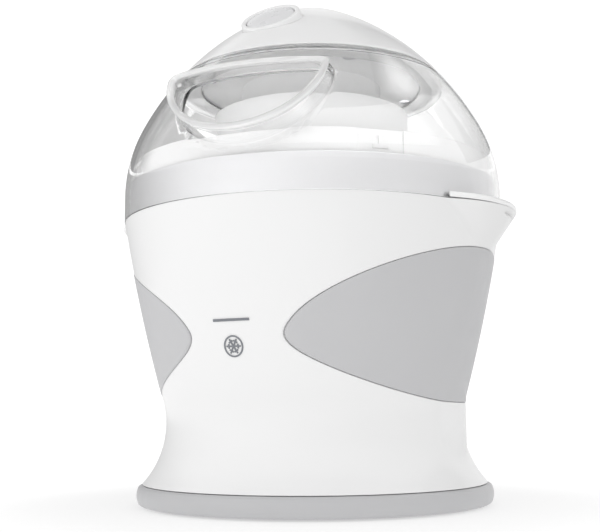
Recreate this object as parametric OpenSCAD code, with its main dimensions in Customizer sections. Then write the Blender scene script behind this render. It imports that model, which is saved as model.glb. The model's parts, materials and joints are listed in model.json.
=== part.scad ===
// Domed counter-top ice cream maker with a lift-out freezer bowl, clear chute lid and top power unit.
// Millimetres, +Z up, front towards -Y, origin on the rest plane under the bowl axis.

/* [Body] */
// radius of the body at its parting line with the lid
body_r = 100; // [80:1:120]
// height of the parting line between body and lid
part_z = 146.5; // [120:0.5:170]
// radius of the waist
waist_r = 77.6; // [60:0.1:95]
// height of the waist
waist_z = 42; // [30:1:60]
// radius of the concave waist curve
waist_curve = 45; // [30:1:80]
// lean of the wall where the waist curve meets the long convex upper curve
flare_a0 = 15.6; // [13:0.1:18]
// wall thickness of the outer shell
shell_t = 2.8; // [1.6:0.1:4]
// height of the top edge of the base ring
base_h = 11; // [6:0.5:20]
// widest radius of the base ring
base_r = 92.4; // [70:0.1:110]
// bulge radius of the base ring
base_bulge = 9; // [6:0.5:20]
// clearance between the base ring and the surface it stands on
base_lift = 1; // [0:0.1:3]

/* [Side lips] */
// how far the side lips reach from the axis
lip_reach = 110; // [100:1:130]
// half-angle over which a side lip leaves the body
lip_half_angle = 25; // [10:1:40]
// depth of a side lip below the parting line
lip_drop = 18.5; // [8:0.5:30]
// radius lost by the lip over its depth
lip_taper = 12.8; // [5:0.1:25]

/* [Grip panels] */
// half-length of a grip panel seen from the side
grip_half_len = 83.7; // [50:0.1:95]
// height of the grip panel tips
grip_mid_z = 87.6; // [60:0.1:100]
// rise of the panel above its tips
grip_rise = 39.5; // [15:0.1:50]
// drop of the panel below its tips
grip_fall = 35.9; // [10:0.1:45]
// pocket depth under a grip panel
grip_pocket = 1.2; // [0.5:0.1:2]
// how far a grip panel stands proud
grip_proud = 0.3; // [0:0.1:1]

/* [Lid] */
// outer radius of the clear lid at its skirt
dome_r = 100.3; // [80:0.1:120]
// wall thickness of the clear lid
dome_t = 2.2; // [1.2:0.1:4]
// radius of the lid's shoulder curve
shoulder_curve = 75; // [40:1:120]
// height at which the shoulder starts to turn in
shoulder_z = 160; // [150:1:180]
// angle turned by the shoulder
shoulder_turn = 27; // [10:1:40]
// radius of the long curve of the dome
dome_curve = 150; // [100:1:250]
// radius of the crown at the very top
crown_curve = 50; // [20:1:100]
// height of the lid tab above the parting line
tab_h = 3.3; // [1.5:0.1:6]
// height of the silver band
band_h = 17.6; // [8:0.1:30]
// thickness of the silver band
band_t = 1.2; // [0.6:0.1:3]

/* [Chute] */
// outer radius of the round chute tube
chute_r = 39.3; // [20:0.1:50]
// forward distance of the chute corners from the axis
chute_y = 91; // [80:0.1:100]
// height of the chute's flat top
chute_z = 208.5; // [180:0.5:215]
// upward tilt of the chute's axis
chute_tilt = 32; // [20:1:60]
// angle of the chute from the front of the body
chute_turn = 6; // [-15:1:15]
// thickness of the bead round the chute lip
bead_r = 1.5; // [0.5:0.1:3]
// how far the chute's roof bows forward between its corners
visor = 9; // [2:0.5:12]

/* [Power unit] */
// height of the parting line between the cap and the lid
cap_z = 225; // [200:0.5:240]
// wall thickness of the cap
cap_t = 2.4; // [1.4:0.1:4]
// outer radius of the neck under the cap
neck_r = 38; // [30:0.5:45]
// outer radius of the gearbox drum
drum_r = 52.6; // [40:0.1:60]
// height of the drum's shoulder
drum_top = 206; // [190:0.5:215]
// height of the drum's underside
drum_bottom = 178; // [165:0.5:190]
// distance of the switch from the axis
switch_y = 47; // [40:1:55]
// half-length of the switch bezel
switch_a = 16.2; // [12:0.2:18]
// half-width of the switch bezel
switch_b = 13.2; // [10:0.2:15]
// forward lean of the switch from the cap's surface
switch_tilt = 9; // [0:1:12]
// height of the bezel's rim above the cap at its middle
switch_h = 2.4; // [1.5:0.1:4]

/* [Bowl] */
// outer radius of the bowl rim
rim_r = 94.5; // [80:0.5:98]
// height of the top of the bowl rim
rim_z = 176.5; // [160:0.5:190]
// inner radius of the liner at the top
liner_top_r = 72; // [55:0.5:80]
// inner radius of the liner at the floor
liner_floor_r = 60; // [45:0.5:72]
// height of the liner's inner floor
floor_z = 63.5; // [55:0.5:80]
// width of a catch window in the bowl rim
catch_w = 23; // [10:1:40]

/* [Gears] */
// gear module
gear_m = 0.7; // [0.5:0.05:1]
// teeth on the motor pinion
pinion_teeth = 10; // [8:1:16]
// teeth on the first wheel
wheel_a_teeth = 44; // [30:1:60]
// teeth on the second pinion
pinion_a_teeth = 12; // [8:1:16]
// teeth on the output wheel
wheel_b_teeth = 54; // [30:1:60]

/* [Hidden] */
$fn = 96;
gap = 0.3;
slip = 0.05;
grip_gap = 0.2;
eps = 0.01;
big = 400;
steps = 14;
rim_steps = 6;

// ---------- shared profile functions ----------
function arc(c, r, a0, a1, n) = [for (i = [0:n]) let (a = a0 + (a1 - a0) * i / n)
    [c[0] + r * cos(a), c[1] + r * sin(a)]];
function rev(v) = [for (i = [len(v) - 1:-1:0]) v[i]];
function oval(a, b, n) = [for (i = [0:n - 1]) [a * cos(360 * i / n), b * sin(360 * i / n)]];

dome_c1 = [dome_r - shoulder_curve, shoulder_z];
dome_c2 = dome_c1 - (dome_curve - shoulder_curve) * [cos(shoulder_turn), sin(shoulder_turn)];
crown_a = acos(-dome_c2[0] / (dome_curve - crown_curve));
dome_c3 = [0, dome_c2[1] + (dome_curve - crown_curve) * sin(crown_a)];
cap_a = asin((cap_z - dome_c2[1]) / dome_curve);
lid_gap_a = 0.15;
function shoulder(t) = arc(dome_c1, shoulder_curve - t, 0, shoulder_turn, steps);
function dome_arc(t, a0, a1) = arc(dome_c2, dome_curve - t, a0, a1, steps);
function crown(t) = arc(dome_c3, crown_curve - t, crown_a, 90, rim_steps);
function dome_r_at(z) = dome_c2[0] + sqrt(pow(dome_curve, 2) - pow(z - dome_c2[1], 2));

flare_start = [waist_r + waist_curve - waist_curve * cos(flare_a0), waist_z + waist_curve * sin(flare_a0)];
flare_span = [body_r, part_z] - flare_start;
flare_curve = (flare_span * flare_span) / (2 * (flare_span * [-cos(flare_a0), sin(flare_a0)]));
flare_c = flare_start - flare_curve * [cos(flare_a0), -sin(flare_a0)];
flare_a1 = -asin((part_z - flare_c[1]) / flare_curve);
waist_c = [waist_r + waist_curve, waist_z];
foot_a = asin((waist_z - base_h - gap) / waist_curve);
function waist_arc(t) = arc(waist_c, waist_curve + t, 180 + foot_a, 180 - flare_a0, steps);
function flare_arc(t) = arc(flare_c, flare_curve - t, -flare_a0, -flare_a1, steps);
function body_side(t) = concat(waist_arc(t), flare_arc(t));

lip_c = (pow(lip_reach, 2) - pow(body_r, 2)) / (2 * (lip_reach - body_r * cos(lip_half_angle)));
lip_rad = lip_reach - lip_c;

// ---------- shared shapes ----------
module spin(pts) { rotate_extrude() polygon(pts); }
module ring(z0, z1, ri, ro) {
    translate([0, 0, z0]) difference() {
        cylinder(h = z1 - z0, r = ro);
        translate([0, 0, -1]) cylinder(h = z1 - z0 + 2, r = ri);
    }
}
module disc(z0, z1, r) { translate([0, 0, z0]) cylinder(h = z1 - z0, r = r); }
module at_ring(n, r, a0) {
    for (i = [0:n - 1]) rotate([0, 0, a0 + 360 * i / n]) translate([r, 0, 0]) children();
}
module body_solid(t) {
    spin(concat([[0, base_h + gap]], body_side(t), [[0, part_z]]));
}
module dome_solid(t) {
    spin(concat([[0, part_z - 1], [dome_r - t, part_z - 1]], shoulder(t),
        dome_arc(t, shoulder_turn, crown_a), crown(t)));
}
module grip_outline(grow) {
    up = [for (i = [0:steps]) let (a = 180 * i / steps)
        [(grip_half_len + grow) * cos(a), grip_mid_z + (grip_rise + grow) * pow(sin(a), 0.85)]];
    down = [for (i = [1:steps - 1]) let (a = 180 + 180 * i / steps)
        [(grip_half_len + grow) * cos(a), grip_mid_z - (grip_fall + grow) * pow(-sin(a), 0.95)]];
    polygon(concat(up, down));
}
module grip_column(side, grow) {
    mirror([side > 0 ? 0 : 1, 0, 0]) translate([20, 0, 0])
        rotate([90, 0, 90]) linear_extrude(height = 100) grip_outline(grow);
}
module gear_2d(teeth, m) {
    pr = teeth * m / 2;
    polygon([for (i = [0:teeth - 1]) for (k = [0:3]) let (
        a = 360 / teeth * (i + [-0.2, -0.09, 0.09, 0.2][k]),
        r = pr + m * [-1.15, 0.9, 0.9, -1.15][k]) [r * cos(a), r * sin(a)]]);
}

// ---------- body ----------
foot_pos_r = 72;
foot_r = 7;
foot_h = 3.1;
screw_pos_r = 60;
screw_r = 1.6;
screw_head_r = 3.2;
hole_gap = 0.3;
drive_w = 0.8;
drive_l = 4.8;
well_top = 145.6;
well_t = 2;
well_flange_t = 2.5;
well_flange_r = body_r - shell_t - 1.2;
well_floor = 44;
well_floor_r = 73.3;
well_top_r = 90;
post_r = 4.5;
post_hole_top = 22;
shelf_z = [well_top - 5, well_top - 2.7];
shelf_r = [93, 99];
plate_base_z = 2;
plate_base_t = 2.4;
plate_boss_h = 6.5;
vent_n = 4;
vent_pitch = 9;
vent_w = 3;
vent_l = 44;
ring_inset = 6;

module body_shell() color([0.94, 0.94, 0.93]) {
    difference() {
        union() {
            body_solid(0);
            for (s = [-1, 1]) translate([s * lip_c, 0, part_z - lip_drop])
                cylinder(h = lip_drop, r1 = lip_rad - lip_taper, r2 = lip_rad);
        }
        difference() {
            spin(concat([[0, base_h - 1], [base_r, base_h - 1]], body_side(shell_t), [[0, part_z]]));
            ring(shelf_z[0], shelf_z[1], shelf_r[0], shelf_r[1]);
        }
        disc(part_z - 2, part_z + 1, body_r - shell_t);
        for (s = [-1, 1]) intersection() {
            grip_column(s, grip_gap);
            difference() {
                body_solid(-1);
                body_solid(grip_pocket);
            }
        }
    }
}

module base_ring() color([0.66, 0.67, 0.68]) {
    spin(concat([[base_r - ring_inset, base_lift], [base_r - ring_inset + 1.5, base_lift]],
        arc([base_r - base_bulge, base_h / 2], base_bulge, -28, 28, rim_steps),
        [[base_r - ring_inset + 1.5, base_h], [base_r - ring_inset, base_h]]));
}

module base_plate() color([0.5, 0.51, 0.52]) {
    top = plate_base_z + plate_base_t;
    rim = base_r - ring_inset - gap;
    difference() {
        union() {
            disc(plate_base_z, top, rim);
            ring(top - 0.1, base_h - 1, rim - 2.2, rim);
            at_ring(4, screw_pos_r, 0) disc(plate_base_z, plate_boss_h, foot_r);
        }
        at_ring(4, screw_pos_r, 0) disc(1, plate_boss_h + 1, screw_r + hole_gap);
        at_ring(4, screw_pos_r, 0) disc(1, top + 0.2, screw_head_r + hole_gap + 0.1);
        at_ring(4, foot_pos_r, 45) disc(1, foot_h + 0.1, foot_r + 0.2);
        for (i = [-vent_n:vent_n])
            translate([i * vent_pitch - vent_w / 2, -vent_l / 2, 1]) cube([vent_w, vent_l, 5]);
    }
}

module feet() color([0.12, 0.12, 0.13]) {
    at_ring(4, foot_pos_r, 45) disc(0, foot_h, foot_r);
}

module cross_drive(z) {
    for (a = [0, 90]) rotate([0, 0, a]) translate([-drive_l / 2, -drive_w / 2, z - 0.5])
        cube([drive_l, drive_w, 1.3]);
}
module base_screws() color([0.7, 0.7, 0.72]) {
    at_ring(4, screw_pos_r, 0) difference() {
        union() {
            disc(plate_base_z + 0.5, plate_base_z + 2.5, screw_head_r);
            disc(plate_base_z + 2.4, post_hole_top - 2, screw_r);
        }
        cross_drive(plate_base_z + 0.5);
    }
}

module left_grip() color([0.66, 0.67, 0.68]) { grip_panel(-1); }
module right_grip() color([0.66, 0.67, 0.68]) { grip_panel(1); }
module grip_panel(side) {
    intersection() {
        grip_column(side, 0);
        difference() {
            body_solid(-grip_proud);
            body_solid(grip_pocket - slip);
        }
    }
}

module bowl_well() color([0.82, 0.83, 0.84]) {
    difference() {
        union() {
            spin([[0, well_floor], [well_floor_r, well_floor], [well_top_r, well_top - well_flange_t],
                [well_flange_r, well_top - well_flange_t], [well_flange_r, well_top], [0, well_top]]);
            at_ring(4, screw_pos_r, 0) disc(plate_boss_h + 0.1, well_floor + 1, post_r);
        }
        spin([[0, well_floor + well_t], [well_floor_r - well_t, well_floor + well_t],
            [well_top_r - well_t, well_top + 1], [0, well_top + 1]]);
        at_ring(4, screw_pos_r, 0) disc(0, post_hole_top, screw_r + slip);
    }
}

badge_z = 78;
badge_r = 5;
badge_line = 0.7;
badge_arm = 7.4;
badge_twig_r = 2.4;
badge_twig = 2.2;
badge_bar = [19, 1.2];
badge_bar_rise = 12;
badge_proud = 0.35;
module badge_2d() {
    difference() {
        circle(r = badge_r);
        circle(r = badge_r - badge_line);
    }
    for (a = [0:60:120]) rotate([0, 0, a]) square([badge_arm, badge_line], center = true);
    for (a = [0:60:300]) rotate([0, 0, a]) translate([badge_twig_r, 0, 0])
        square([badge_line, badge_twig], center = true);
    translate([0, badge_bar_rise, 0]) square(badge_bar, center = true);
}
module front_badge() color([0.5, 0.52, 0.55]) {
    intersection() {
        translate([0, -body_r / 2, badge_z]) rotate([90, 0, 0])
            linear_extrude(height = body_r / 2) badge_2d();
        difference() {
            body_solid(-badge_proud);
            body_solid(-slip);
        }
    }
}

// ---------- bowl ----------
bowl_bottom = 48;
bowl_bottom_r = 70.4;
bowl_top_r = 86.5;
bowl_t = 2;
liner_t = 1.5;
pip_r = 3;
pip_h = 6;
rim_skirt = 146.1;
rim_floor = 168;
plug_x = 46;
plug_r = 6;
plug_head_r = 7;
plug_slot = [8, 1.4, 1.5];
lip_step = 5;
lip_t = 1.5;
rim_wall = 3.5;
rim_skirt_r = 88.5;
rim_collar = [bowl_top_r + gap, 90];
catch_h = 12;
catch_depth = 1.4;
catch_key = [8, 2, 6];
gel_top = [82.2, 158];

module bowl_outer() color([0.93, 0.94, 0.95]) {
    difference() {
        spin([[0, bowl_bottom], [bowl_bottom_r, bowl_bottom],
            [bowl_top_r, rim_floor - 0.2], [0, rim_floor - 0.2]]);
        spin([[0, bowl_bottom + bowl_t], [bowl_bottom_r - bowl_t, bowl_bottom + bowl_t],
            [bowl_top_r - bowl_t, rim_floor + 1], [0, rim_floor + 1]]);
        translate([plug_x, 0, 0]) disc(bowl_bottom - 1, bowl_bottom + 2 * bowl_t, plug_r + 0.1);
    }
}

module bowl_liner() color([0.77, 0.78, 0.8]) {
    top = rim_z - 1 - lip_t;
    difference() {
        spin([[0, floor_z - liner_t], [liner_floor_r + liner_t, floor_z - liner_t],
            [liner_top_r + liner_t, top - lip_t], [liner_top_r + lip_step, top - lip_t],
            [liner_top_r + lip_step, top], [0, top]]);
        spin([[0, floor_z], [liner_floor_r, floor_z], [liner_top_r, top + 0.1], [0, top + 0.1]]);
    }
    disc(floor_z - 0.5, floor_z + pip_h, pip_r);
}

module bowl_rim() color([0.95, 0.95, 0.94]) {
    difference() {
        union() {
            ring(rim_floor, rim_z, liner_top_r - 0.5, rim_r);
            ring(rim_skirt, rim_floor + 1, rim_skirt_r, rim_r);
            ring(rim_floor - 4, rim_floor + 1, rim_collar[0], rim_collar[1]);
        }
        ring(rim_floor - 1, rim_z - 2.4, liner_top_r - 2, liner_top_r + lip_step + 0.2);
        ring(rim_skirt - 1, rim_floor - 0.2, rim_skirt_r - 8, rim_r - rim_wall);
        at_ring(4, rim_r - catch_depth, 45) translate([0, -catch_w / 2, rim_z - catch_h])
            cube([5, catch_w, catch_h + 1]);
    }
    at_ring(4, rim_r - 2, 45) {
        translate([0, -catch_key[0] / 2, rim_z - 9]) cube([catch_depth, catch_key[0], catch_key[1]]);
        translate([0, -catch_key[1] / 2, rim_z - 9]) cube([catch_depth, catch_key[1], catch_key[2]]);
    }
}

module coolant() color([0.35, 0.62, 0.85]) {
    low = bowl_bottom + bowl_t + slip;
    difference() {
        spin([[0, low], [bowl_bottom_r - bowl_t - 0.2, low], gel_top, [0, gel_top[1]]]);
        spin([[0, floor_z - liner_t - slip], [liner_floor_r + liner_t + slip, floor_z - liner_t - slip],
            [liner_top_r + liner_t + 0.1, rim_z - 4], [liner_top_r + liner_t, rim_z], [0, rim_z]]);
        translate([plug_x, 0, 0]) disc(bowl_bottom - 1, bowl_bottom + 6, plug_head_r + 0.4);
    }
}

module bowl_seal() color([0.85, 0.86, 0.87]) {
    ring(rim_floor + 0.1, rim_z - 4.1, liner_top_r + liner_t + 0.2, liner_top_r + lip_step);
}

module fill_plug() color([0.25, 0.27, 0.3]) {
    translate([plug_x, 0, 0]) difference() {
        union() {
            disc(bowl_bottom + gap, bowl_bottom + 3.5, plug_r);
            disc(bowl_bottom + bowl_t + slip, bowl_bottom + 4.5, plug_head_r);
        }
        translate([-plug_slot[0] / 2, -plug_slot[1] / 2, bowl_bottom]) cube(plug_slot);
    }
}

// ---------- paddle ----------
paddle_t = 5;
paddle_gap = 1.6;
hub_r = 9;
hub_top = 174;
socket_w = 7.6;
socket_z = 159;
blade_w = 9;
blade_top = 150;
bar_h = 10;
shoulder_rise = 14;
scoop_n = 3;
scoop_start = 17;
scoop_pitch = 13;
scoop_a = 28;
scoop = [3, 20, 9];
wall_slope = (liner_top_r - liner_floor_r) / (rim_z - 2.4 - floor_z);
function wall_x(z) = liner_floor_r + wall_slope * (z - floor_z) - paddle_gap;

module paddle_2d() {
    z0 = floor_z + paddle_gap;
    difference() {
        polygon([[-wall_x(z0), z0], [wall_x(z0), z0], [wall_x(blade_top), blade_top],
            [wall_x(blade_top) - blade_w, blade_top],
            [hub_r, blade_top + shoulder_rise], [-hub_r, blade_top + shoulder_rise],
            [-wall_x(blade_top) + blade_w, blade_top], [-wall_x(blade_top), blade_top]]);
        for (s = [-1, 1]) mirror([s > 0 ? 0 : 1, 0, 0])
            polygon([[hub_r + 1, z0 + bar_h], [wall_x(z0) - blade_w, z0 + bar_h],
                [wall_x(blade_top) - blade_w - 1, blade_top - bar_h], [hub_r + 1, blade_top + 2]]);
    }
}
module paddle() color([0.92, 0.93, 0.94]) {
    difference() {
        union() {
            translate([0, paddle_t / 2, 0]) rotate([90, 0, 0]) linear_extrude(height = paddle_t) paddle_2d();
            disc(floor_z + paddle_gap, hub_top, hub_r);
            for (s = [0, 180]) rotate([0, 0, s]) for (k = [0:scoop_n - 1])
                translate([scoop_start + scoop_pitch * k, -scoop[1] / 2, floor_z + paddle_gap])
                    rotate([0, 0, scoop_a]) cube(scoop);
        }
        disc(floor_z, floor_z + pip_h + 1, pip_r + gap);
        translate([-socket_w / 2, -socket_w / 2, socket_z]) cube([socket_w, socket_w, 20]);
    }
}

// ---------- lid ----------
ledge_r = 60;
ledge_z = 219.6;
ledge_t = 2.2;
skirt_z = part_z + 0.5;
chute_len = 70;
chute_in = 34;
chute_sink = 1.2;
lid_reach = 160;
band_z = part_z + 0.7;
band_r = dome_r - dome_t - gap;
bore_r = chute_r - dome_t;
visor_half = chute_r + 0.5;
visor_r = (pow(visor_half, 2) + pow(visor, 2)) / (2 * visor);

module chute_visor() {
    rotate([0, 0, chute_turn]) translate([0, -chute_y, chute_z - dome_t]) intersection() {
        translate([0, visor_r - visor, 0]) cylinder(h = dome_t, r = visor_r);
        translate([-visor_half, -visor - 1, 0]) cube([2 * visor_half, visor + 5, dome_t]);
    }
}
module chute_frame() {
    rotate([0, 0, chute_turn]) translate([0, -chute_y, chute_z - chute_sink])
        rotate([90 - chute_tilt, 0, 0]) children();
}
module chute_outer() {
    chute_frame() {
        translate([0, 0, -chute_len]) cylinder(h = chute_len, r = chute_r);
        translate([0, 0, -2 * bead_r]) cylinder(h = 2 * bead_r, r = chute_r + bead_r);
    }
}
module chute_bore() {
    intersection() {
        chute_frame() translate([0, 0, -chute_in]) cylinder(h = chute_in + 20, r = bore_r);
        disc(part_z, chute_z - dome_t, lid_reach);
    }
}
module lid_dome() color([0.85, 0.93, 0.96, 0.35]) {
    difference() {
        union() {
            spin(concat([[dome_r - dome_t, skirt_z], [dome_r, skirt_z]], shoulder(0),
                dome_arc(0, shoulder_turn, cap_a - lid_gap_a),
                rev(dome_arc(dome_t, shoulder_turn, cap_a - lid_gap_a)),
                rev(shoulder(dome_t))));
            ring(ledge_z, ledge_z + ledge_t, ledge_r, dome_r_at(ledge_z) - 1.5);
            for (s = [-1, 1]) difference() {
                translate([s * lip_c, 0, skirt_z]) cylinder(h = tab_h - 0.5, r = lip_rad);
                disc(part_z, part_z + 10, dome_r - dome_t);
                translate([s > 0 ? -big : 0, -big / 2, 0]) cube([big, big, big]);
            }
            difference() {
                union() {
                    intersection() {
                        chute_outer();
                        disc(part_z, chute_z, lid_reach);
                    }
                    chute_visor();
                }
                dome_solid(dome_t - eps);
            }
        }
        chute_bore();
    }
}

module silver_band() color([0.72, 0.73, 0.75]) {
    ring(band_z, band_z + band_h, band_r - band_t, band_r);
}

// ---------- power unit ----------
plate_z = 222.1;
plate_t = 2.3;
wall = 2.2;
gear_plate_z = 201.2;
cover_t = 2.4;
cap_post_r = 57;
gland_z = 236;
gland_bore = 3.2;
gland_start = 41;
gland_end = 111;
gland_r = 6;
gland_flange_r = 8.4;
boot_start = 68.5;
boot_r = [7.4, 4.6];
boot_rings = 6;
boot_pitch = 5;
boot_slot_r = 4.1;
cap_post = 4;
boss_post_r = 3.6;
boss_pos_r = drum_r - wall - 3.4;
nose_r = 12;
nose_h = 3;
bush_r = [6.4, 5.1];
bush_flange_r = 6.5;
motor_hole_r = 6;
motor_wall = 1.2;
coil_r = 12.5;
rotor_r = 11.5;
rotor_slots = 12;
rotor_slot_r = 1.4;
switch_a_el = acos((switch_y - dome_c2[0]) / dome_curve);
switch_z = dome_c2[1] + dome_curve * sin(switch_a_el);
arm_a = gear_m * (pinion_a_teeth + wheel_b_teeth) / 2;
arm_m = gear_m * (pinion_teeth + wheel_a_teeth) / 2;
motor_dir = 150;
motor_pos = [arm_a + arm_m * cos(motor_dir), arm_m * sin(motor_dir), 0];
motor_r = 22;
motor_h = 25;
motor_z = gear_plate_z + 2.1;
gear_plate_t = 2;
shaft_r = 4;
shaft_top_r = 3;
axle_r = 2;
rotor_shaft_r = 1.5;

module switch_frame() {
    translate([0, -switch_y, switch_z]) rotate([90 - switch_a_el + switch_tilt, 0, 0]) children();
}
sleeve_in = 1.2;
sleeve_t = 1.4;
sleeve_depth = 8;
bore_in = sleeve_in + sleeve_t;
button_depth = 5.6;
button_crown = 0.6;
button_curve = 70;
micro = [16, 10, 9];
micro_plate_t = 1.5;
module switch_oval(z0, z1, inset) {
    translate([0, 0, z0]) linear_extrude(height = z1 - z0)
        polygon(oval(switch_a - inset, switch_b - inset, 48));
}
module cap_shell(t0, t1) {
    spin(concat(dome_arc(t0, cap_a, crown_a), crown(t0), rev(crown(t1)), rev(dome_arc(t1, cap_a, crown_a))));
}
module cap() color([0.94, 0.94, 0.93]) {
    difference() {
        union() {
            cap_shell(0, cap_t);
            intersection() {
                at_ring(4, cap_post_r, 45) disc(plate_z + plate_t + 0.1, dome_c3[1] + crown_curve, cap_post);
                dome_solid(1);
            }
        }
        switch_frame() switch_oval(-12, 12, sleeve_in - 0.2);
        translate([0, gland_start - 1, gland_z]) rotate([-90, 0, 0]) cylinder(h = 60, r = gland_r + 0.2);
        at_ring(4, cap_post_r, 45) disc(plate_z, plate_z + 10, screw_r + slip);
    }
}

module lower_housing() color([0.9, 0.9, 0.9]) {
    difference() {
        union() {
            disc(plate_z, plate_z + plate_t, dome_r_at(cap_z) - cap_t - 1.2);
            disc(drum_top - wall, plate_z + 1, neck_r);
            disc(drum_bottom + cover_t + 0.1, drum_top, drum_r);
        }
        disc(drum_top - wall - 1, plate_z + 10, neck_r - wall);
        disc(drum_bottom, drum_top - wall, drum_r - wall);
        at_ring(4, cap_post_r, 45) disc(plate_z - 1, plate_z + 5, screw_r + hole_gap);
        at_ring(4, cap_post_r, 45) disc(plate_z - 1, plate_z + 1.2, screw_head_r + hole_gap);
    }
    difference() {
        at_ring(3, boss_pos_r, 90) disc(drum_bottom + cover_t + 0.1, gear_plate_z - 0.1, boss_post_r);
        at_ring(3, boss_pos_r, 90) disc(drum_bottom, drum_bottom + 14, screw_r + slip);
    }
}

module gearbox_cover() color([0.9, 0.9, 0.9]) {
    difference() {
        union() {
            disc(drum_bottom, drum_bottom + cover_t, drum_r);
            disc(drum_bottom - nose_h, drum_bottom + 1, nose_r);
        }
        disc(drum_bottom - 4, drum_bottom + 5, bush_flange_r);
        at_ring(3, boss_pos_r, 90) disc(drum_bottom - 1, drum_bottom + 5, screw_r + hole_gap);
        at_ring(3, boss_pos_r, 90) disc(drum_bottom - 1, drum_bottom + 1.4, screw_head_r + hole_gap);
        translate([arm_a, 0, 0]) disc(drum_bottom + 1.2, drum_bottom + 4, axle_r + slip);
    }
}

module power_screws() color([0.7, 0.7, 0.72]) {
    at_ring(4, cap_post_r, 45) {
        disc(plate_z + 0.1, plate_z + 1.1, screw_head_r);
        disc(plate_z + 1, plate_z + 9, screw_r);
    }
    at_ring(3, boss_pos_r, 90) {
        disc(drum_bottom + 0.2, drum_bottom + 1.3, screw_head_r);
        disc(drum_bottom + 1.2, drum_bottom + 12, screw_r);
    }
}

module gear_plate() color([0.75, 0.75, 0.73]) {
    difference() {
        disc(gear_plate_z, gear_plate_z + gear_plate_t, drum_r - wall - gap);
        disc(gear_plate_z - 1, gear_plate_z + 4, bush_r[1] + 0.1);
        translate([arm_a, 0, 0]) disc(gear_plate_z - 1, gear_plate_z + 4, axle_r + slip);
        translate(motor_pos) disc(gear_plate_z - 1, gear_plate_z + 4, motor_hole_r);
    }
}

module bushes() color([0.78, 0.6, 0.32]) {
    difference() {
        union() {
            disc(drum_bottom - 2.9, drum_bottom + cover_t, bush_r[0]);
            disc(gear_plate_z - 0.8, gear_plate_z + gear_plate_t, bush_r[1]);
        }
        disc(drum_bottom - 5, drum_bottom + 6, shaft_r + slip);
        disc(gear_plate_z - 3, gear_plate_z + 4, shaft_top_r + slip);
    }
}

module gear_axle() color([0.72, 0.73, 0.75]) {
    translate([arm_a, 0, 0]) disc(drum_bottom + 1.3, gear_plate_z + 2, axle_r);
}

module motor_can() color([0.68, 0.7, 0.72]) {
    top = motor_z + motor_h;
    translate(motor_pos) difference() {
        union() {
            disc(motor_z, top, motor_r);
            disc(top - 1, top + 2, 5);
        }
        disc(motor_z + 1.5, top - 1.5, motor_r - motor_wall);
        disc(motor_z - 1, motor_z + 3, rotor_shaft_r + slip);
        disc(top - 3, top + 1, rotor_shaft_r + slip);
    }
}

module motor_coil() color([0.72, 0.42, 0.2]) {
    translate(motor_pos) ring(motor_z + 2, motor_z + motor_h - 2, coil_r, motor_r - motor_wall - gap);
}

module motor_rotor() color([0.25, 0.25, 0.27]) {
    translate(motor_pos) difference() {
        disc(motor_z + 3, motor_z + motor_h - 3, rotor_r);
        disc(motor_z, motor_z + motor_h, rotor_shaft_r + slip);
        at_ring(rotor_slots, rotor_r + 0.7, 0) disc(motor_z, motor_z + motor_h, rotor_slot_r);
    }
}

module rotor_shaft() color([0.75, 0.76, 0.78]) {
    translate(motor_pos) disc(mesh_z - 1.5, motor_z + motor_h + 0.5, rotor_shaft_r);
}

mesh_z = 195;
pinion_h = 6;
wheel_h = 4;
wheel_b_h = 6;
idler_drop = 11;
hub_gear_r = 7;
shaft_end = 174.3;
key_w = 7;
module motor_pinion() color([0.8, 0.66, 0.35]) {
    translate(motor_pos) rotate([0, 0, motor_dir + 180 + 180 / pinion_teeth]) translate([0, 0, mesh_z - 1])
        difference() {
            linear_extrude(height = pinion_h) gear_2d(pinion_teeth, gear_m);
            translate([0, 0, -1]) cylinder(h = 9, r = rotor_shaft_r + slip / 2);
        }
}

module idler_gear() color([0.88, 0.88, 0.84]) {
    translate([arm_a, 0, 0]) difference() {
        union() {
            translate([0, 0, mesh_z]) rotate([0, 0, motor_dir])
                linear_extrude(height = wheel_h) gear_2d(wheel_a_teeth, gear_m);
            translate([0, 0, mesh_z - idler_drop]) rotate([0, 0, 180])
                linear_extrude(height = idler_drop + 1) gear_2d(pinion_a_teeth, gear_m);
            disc(mesh_z - 1, gear_plate_z - 0.5, 2 * axle_r);
        }
        disc(mesh_z - 20, mesh_z + 20, axle_r + slip);
    }
}

module output_gear() color([0.88, 0.88, 0.84]) {
    difference() {
        union() {
            translate([0, 0, mesh_z - 10]) rotate([0, 0, 180 / wheel_b_teeth])
                linear_extrude(height = wheel_b_h) gear_2d(wheel_b_teeth, gear_m);
            disc(mesh_z - 13, mesh_z - 3, hub_gear_r);
        }
        disc(mesh_z - 20, mesh_z + 20, shaft_r + slip / 2);
    }
}

module output_shaft() color([0.75, 0.76, 0.78]) {
    disc(shaft_end, mesh_z - 1, shaft_r);
    disc(mesh_z - 2, gear_plate_z + gear_plate_t, shaft_top_r);
    translate([-key_w / 2, -key_w / 2, socket_z + 1]) cube([key_w, key_w, 14.5]);
}

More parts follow.
